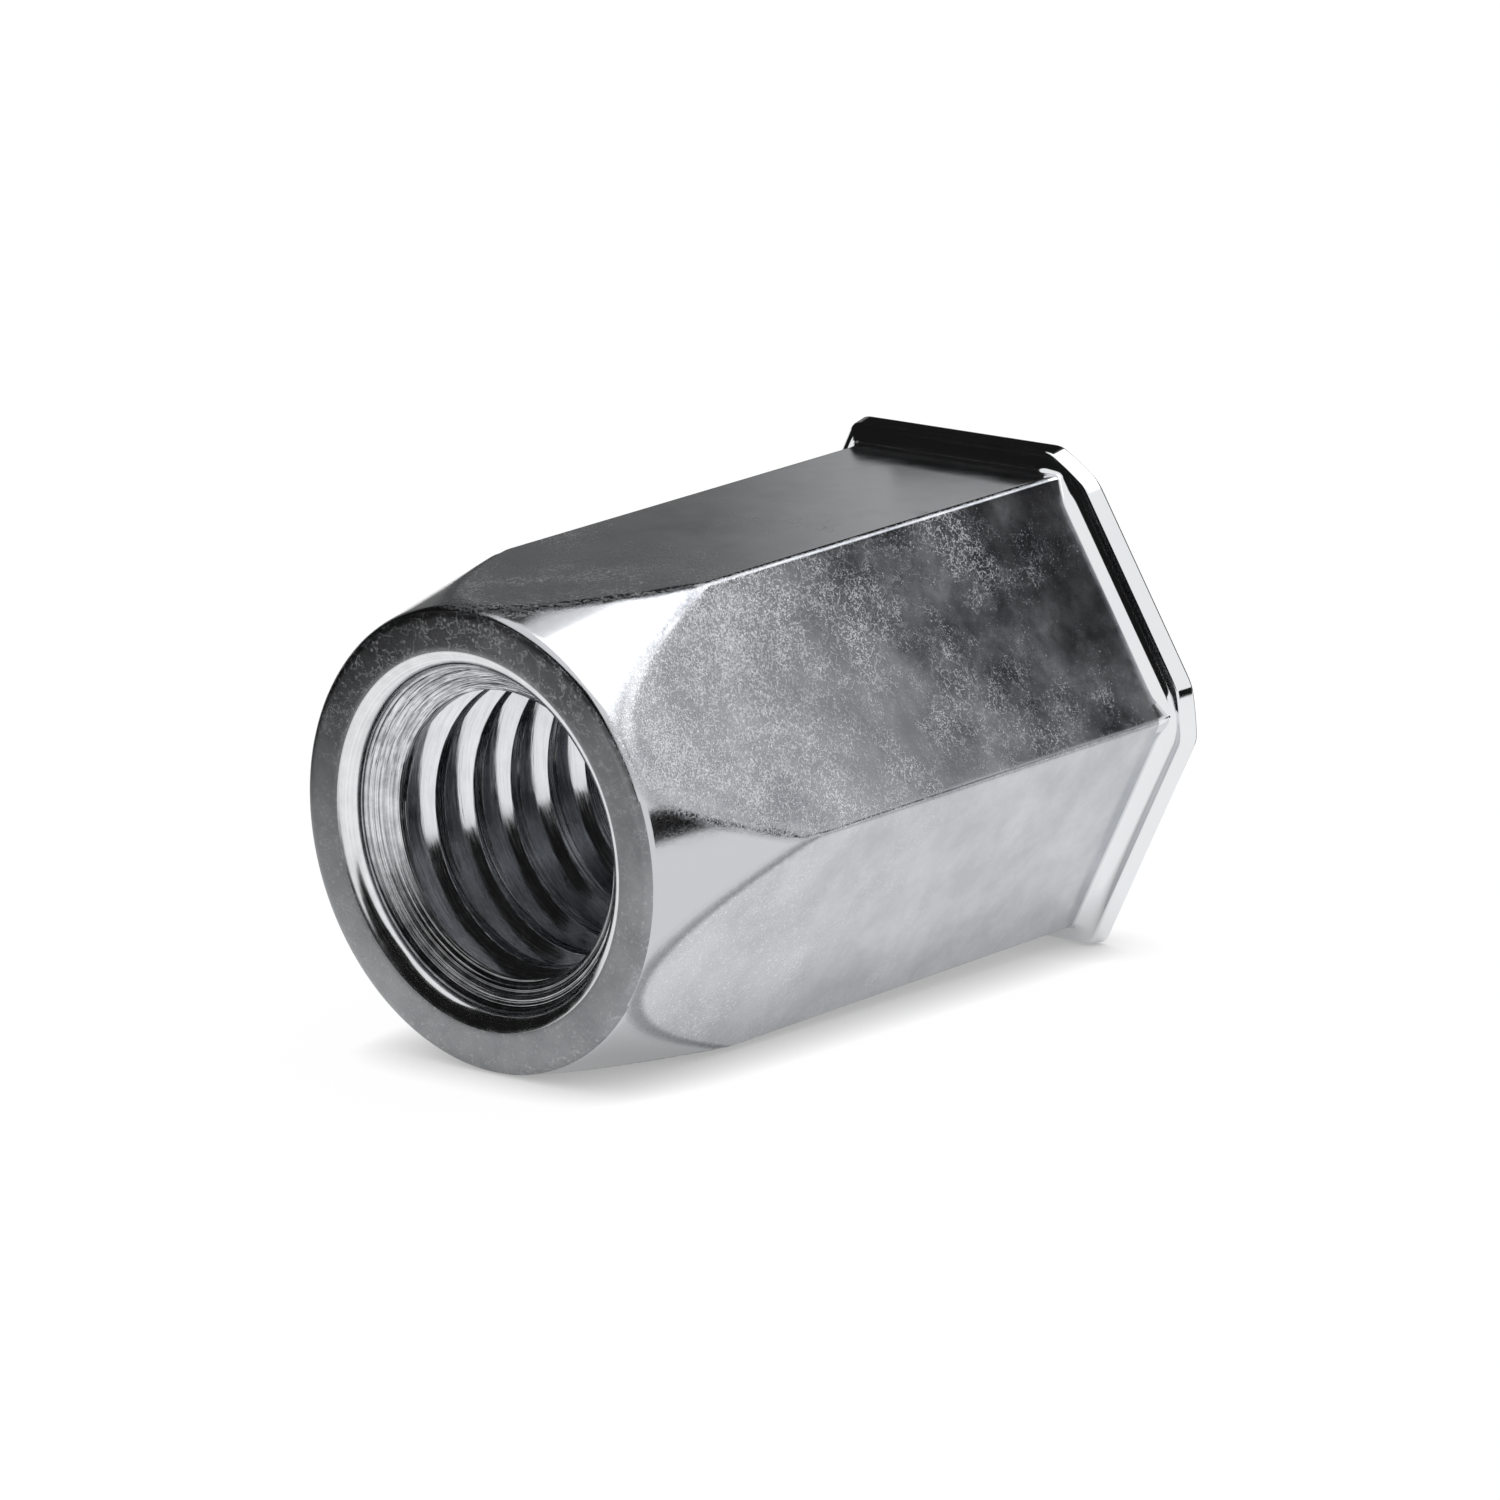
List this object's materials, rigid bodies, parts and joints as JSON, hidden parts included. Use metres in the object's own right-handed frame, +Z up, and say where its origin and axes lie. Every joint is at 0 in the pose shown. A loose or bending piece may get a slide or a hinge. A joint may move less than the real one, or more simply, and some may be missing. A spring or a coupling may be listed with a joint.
{
  "type": "rivet nut",
  "caption": "Open-ended blind rivet nut with a full hexagonal shank, a thin trimmed hexagonal flange, a round tapered threaded nose and a thin-walled chamber that folds when set.",
  "frame": {"origin": "on the axis, in the plane of the flange's seat, where the nut meets the sheet it is fitted in", "axes": "+Y along the axis out of the flange, the way a fitted screw leaves; -Y towards the threaded nose; +Z up, square to one of the six flats, as the nut lies; +X towards an edge of the hexagon"},
  "size_m": [0.0132, 0.0175, 0.012],
  "materials": {
    "zinc_plated_steel": "bright zinc plate, satin, faintly mottled"
  },
  "bodies": {
    "root": {"rivet_nut": "zinc_plated_steel"}
  },
  "joints": []
}
